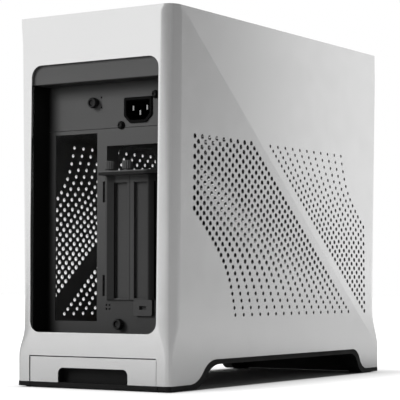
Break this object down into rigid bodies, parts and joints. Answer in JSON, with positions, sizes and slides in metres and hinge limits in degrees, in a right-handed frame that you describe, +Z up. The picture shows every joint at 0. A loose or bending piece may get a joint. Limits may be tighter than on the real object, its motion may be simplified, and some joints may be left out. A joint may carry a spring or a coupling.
{
  "type": "mini-itx computer case",
  "caption": "Compact upright computer case: folded, perforated aluminium sleeve over a steel chassis, with lift-off lid, rear window and pull-out filter tray.",
  "frame": {"origin": "centre of the footprint on the floor", "axes": "+Z up, +Y towards the rear with the mains inlet and card slots, +X towards the board side"},
  "size_m": [0.1596, 0.366, 0.314],
  "materials": {
    "silver_aluminium": "bead-blasted, silver anodised",
    "black_steel": "fine-textured black powder coat",
    "black_plastic": "moulded, fine spark-eroded grain",
    "black_rubber": "matt",
    "brass": "turned",
    "bright_steel": "nickel plated",
    "filter_mesh": "woven nylon",
    "circuit_board": "solder mask",
    "black_screw": "black zinc"
  },
  "bodies": {
    "chassis": {"stud_sockets": "black_plastic", "base_frame": "black_plastic", "rubber_foot_1": "black_rubber", "rubber_foot_2": "black_rubber", "rubber_foot_3": "black_rubber", "rubber_foot_4": "black_rubber", "floor_plate": "black_steel", "rear_panel": "black_steel", "inlet_plate": "black_steel", "top_frame": "black_steel", "front_wall": "black_steel", "spine_plate": "black_steel", "standoffs": "brass", "riser_board": "circuit_board", "riser_socket": "black_plastic", "psu_bracket": "black_steel", "slot_frame": "black_steel", "slot_cover_1": "black_steel", "slot_cover_2": "black_steel", "slot_cover_3": "black_steel", "slot_retainer": "black_steel", "retainer_screws": "black_screw", "inlet_socket": "black_plastic", "inlet_pins": "bright_steel", "inlet_screws": "black_screw", "thumbscrew_upper": "black_screw", "thumbscrew_lower": "black_screw", "lock_plate": "black_steel", "io_strip": "black_plastic", "usb_c_port": "bright_steel", "usb_a_port_1": "bright_steel", "usb_a_port_2": "bright_steel", "audio_jack": "black_plastic", "power_switch": "black_plastic", "io_board": "circuit_board"},
    "shell": {"shell": "silver_aluminium"},
    "lid": {"top_panel": "silver_aluminium", "top_studs": "bright_steel"},
    "filter_tray": {"tray_front": "silver_aluminium", "tray_frame": "black_plastic", "tray_mesh": "filter_mesh"},
    "power_button": {"power_button": "silver_aluminium"}
  },
  "joints": [
    {"name": "shell_lift", "type": "slide", "parent": "chassis", "child": "shell", "axis": [0, 0, 1], "range_m": [0, 0.33]},
    {"name": "lid_lift", "type": "slide", "parent": "shell", "child": "lid", "axis": [0, 0, 1], "range_m": [0, 0.06]},
    {"name": "tray_slide", "type": "slide", "parent": "chassis", "child": "filter_tray", "axis": [0, 1, 0], "range_m": [0, 0.28]},
    {"name": "power_press", "type": "slide", "parent": "chassis", "child": "power_button", "axis": [0, 1, 0], "range_m": [0, 0.0012], "stiffness_N_per_m": 600}
  ]
}
